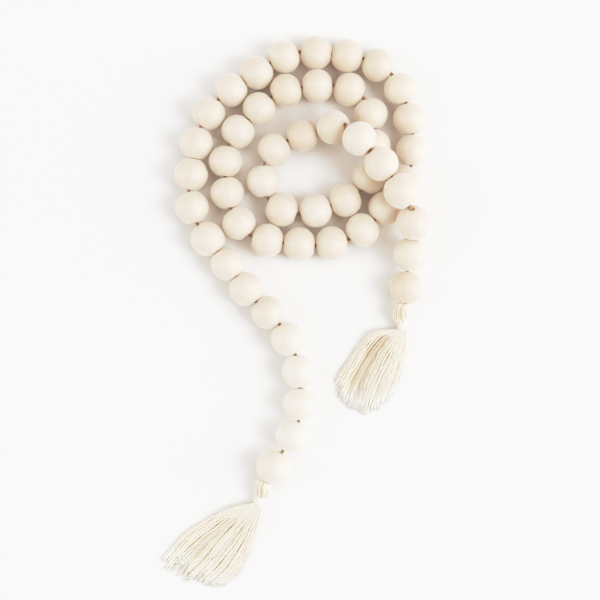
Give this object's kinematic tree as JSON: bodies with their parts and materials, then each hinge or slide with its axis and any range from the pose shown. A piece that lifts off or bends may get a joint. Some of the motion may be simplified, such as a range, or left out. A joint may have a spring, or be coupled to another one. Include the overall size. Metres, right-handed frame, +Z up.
{
  "type": "wood bead garland",
  "caption": "Garland of round wooden beads on a cotton string, coiled in a loose spiral, with a tied cotton tassel at each end.",
  "frame": {"origin": "centre of the bounding box's underside, on the surface that the garland lies on", "axes": "+Z up from that surface, +Y from the tassels towards the far side of the coil, +X to the right seen from above"},
  "size_m": [0.1621, 0.3277, 0.0396],
  "materials": {
    "bleached_wood": "pale bleached wood, turned and sanded, unvarnished",
    "cotton_yarn": "matte ivory twisted cotton yarn",
    "cotton_string": "matte natural cotton string",
    "cotton_thread": "matte off-white cotton thread"
  },
  "bodies": {
    "root": {"bead_01": "bleached_wood", "bead_02": "bleached_wood", "bead_03": "bleached_wood", "bead_04": "bleached_wood", "bead_05": "bleached_wood", "bead_06": "bleached_wood", "bead_07": "bleached_wood", "bead_08": "bleached_wood", "bead_09": "bleached_wood", "bead_10": "bleached_wood", "bead_11": "bleached_wood", "bead_12": "bleached_wood", "bead_13": "bleached_wood", "bead_14": "bleached_wood", "bead_15": "bleached_wood", "bead_16": "bleached_wood", "bead_17": "bleached_wood", "bead_18": "bleached_wood", "bead_19": "bleached_wood", "bead_20": "bleached_wood", "bead_21": "bleached_wood", "bead_22": "bleached_wood", "bead_23": "bleached_wood", "bead_24": "bleached_wood", "bead_25": "bleached_wood", "bead_26": "bleached_wood", "bead_27": "bleached_wood", "bead_28": "bleached_wood", "bead_29": "bleached_wood", "bead_30": "bleached_wood", "bead_31": "bleached_wood", "bead_32": "bleached_wood", "bead_33": "bleached_wood", "bead_34": "bleached_wood", "bead_35": "bleached_wood", "bead_36": "bleached_wood", "bead_37": "bleached_wood", "bead_38": "bleached_wood", "bead_39": "bleached_wood", "bead_40": "bleached_wood", "bead_41": "bleached_wood", "bead_42": "bleached_wood", "bead_43": "bleached_wood", "bead_44": "bleached_wood", "bead_45": "bleached_wood", "bead_46": "bleached_wood", "bead_47": "bleached_wood", "bead_48": "bleached_wood", "bead_49": "bleached_wood", "bead_50": "bleached_wood", "bead_51": "bleached_wood", "bead_52": "bleached_wood", "string": "cotton_string", "tassel_left": "cotton_yarn", "tassel_right": "cotton_yarn", "tie_left": "cotton_thread", "tie_right": "cotton_thread"}
  },
  "joints": []
}
